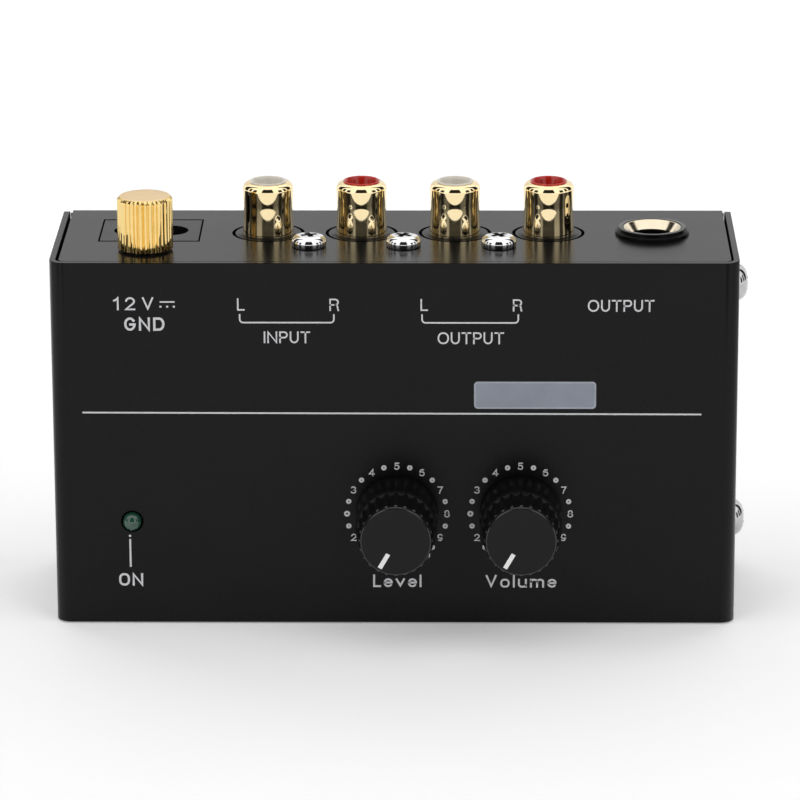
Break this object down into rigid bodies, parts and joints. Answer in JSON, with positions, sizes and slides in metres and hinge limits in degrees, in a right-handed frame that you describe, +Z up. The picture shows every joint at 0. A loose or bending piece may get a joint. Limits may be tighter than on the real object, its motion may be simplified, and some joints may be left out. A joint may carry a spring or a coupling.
{
  "type": "phono preamp",
  "caption": "Compact black metal phono preamplifier with gold phono sockets, jack, power inlet, ground nut, two knobs and lamp.",
  "frame": {"origin": "centre of the flat underside, midway between control face and back plate and between the side walls", "axes": "+Z up through the connector panel, -Y out of the control face towards the user, +X to the right seen from the control face"},
  "size_m": [0.1126, 0.0504, 0.0693],
  "materials": {
    "black_paint": "satin black paint on sheet steel",
    "screw_chrome": "bright plated screw",
    "plated_steel": "zinc-plated steel",
    "rubber": "soft matt rubber",
    "black_nylon": "moulded black plastic",
    "gold": "gold-plated brass",
    "insert_white": "white moulded plastic",
    "insert_red": "red moulded plastic",
    "tinned_contact": "tinned contact metal",
    "jack_nickel": "pale plated brass",
    "ring_black": "glossy black ring nut",
    "wire_jacket": "black wire sleeve",
    "pot_case": "moulded case",
    "die_cast": "die-cast metal",
    "shaft_steel": "turned shaft",
    "knob_black": "moulded black knob",
    "pointer_white": "white inlay",
    "lamp_green": "green tinted lens",
    "board": "green lacquered board",
    "chip_black": "black moulding",
    "can_sleeve": "dark shrink sleeve",
    "film_box": "moulded box",
    "resistor_coat": "lacquered body"
  },
  "bodies": {
    "housing": {"front_cover": "black_paint", "rear_chassis": "black_paint", "side_screws": "screw_chrome", "panel_screws": "screw_chrome", "board_screws": "plated_steel", "board_standoffs": "plated_steel", "ground_lock_nut": "plated_steel", "rubber_feet": "rubber", "phono_socket_block": "black_nylon", "jack_body": "black_nylon", "power_socket_housing": "black_nylon", "lamp_spacer": "black_nylon", "input_left_shell": "gold", "input_right_shell": "gold", "output_left_shell": "gold", "output_right_shell": "gold", "ground_stud": "gold", "input_left_insert": "insert_white", "output_left_insert": "insert_white", "input_right_insert": "insert_red", "output_right_insert": "insert_red", "phono_centre_contacts": "tinned_contact", "phono_ground_tails": "tinned_contact", "jack_contact_springs": "tinned_contact", "power_centre_pin": "tinned_contact", "power_terminals": "tinned_contact", "ground_lug": "tinned_contact", "op_amp_leads": "tinned_contact", "regulator_leads": "tinned_contact", "resistor_leads": "tinned_contact", "lamp_leads": "tinned_contact", "level_pot_terminals": "tinned_contact", "volume_pot_terminals": "tinned_contact", "jack_bushing": "jack_nickel", "jack_ring_nut": "ring_black", "ground_wire": "wire_jacket", "level_pot_case": "pot_case", "volume_pot_case": "pot_case", "level_pot_bushing": "die_cast", "volume_pot_bushing": "die_cast", "regulator_tab": "die_cast", "lamp_lens": "lamp_green", "main_board": "board", "op_amp_chips": "chip_black", "regulator_body": "chip_black", "electrolytic_capacitors": "can_sleeve", "film_capacitors": "film_box", "resistor_bodies": "resistor_coat"},
    "level_control": {"level_knob": "knob_black", "level_pointer": "pointer_white", "level_shaft": "shaft_steel"},
    "volume_control": {"volume_knob": "knob_black", "volume_pointer": "pointer_white", "volume_shaft": "shaft_steel"},
    "ground_lift": {"ground_washer": "plated_steel"},
    "ground_nut": {"ground_thumb_nut": "gold"}
  },
  "joints": [
    {"name": "level_turn", "type": "hinge", "parent": "housing", "child": "level_control", "pos_m": [0.00035, -0.01715, 0.01855], "axis": [0, 1, 0], "range_deg": [0, 300]},
    {"name": "volume_turn", "type": "hinge", "parent": "housing", "child": "volume_control", "pos_m": [0.02025, -0.01715, 0.01855], "axis": [0, 1, 0], "range_deg": [0, 300]},
    {"name": "ground_rise", "type": "slide", "parent": "housing", "child": "ground_lift", "axis": [0, 0, 1], "range_m": [0, 0.0028]},
    {"name": "ground_turn", "type": "hinge", "parent": "ground_lift", "child": "ground_nut", "pos_m": [-0.04, -0.00865, 0.0604], "axis": [0, 0, 1], "range_deg": [0, 1440]}
  ],
  "couplings": [
    {"joint": "ground_turn", "follows": "ground_rise", "rad_per_m": 8975.9}
  ]
}
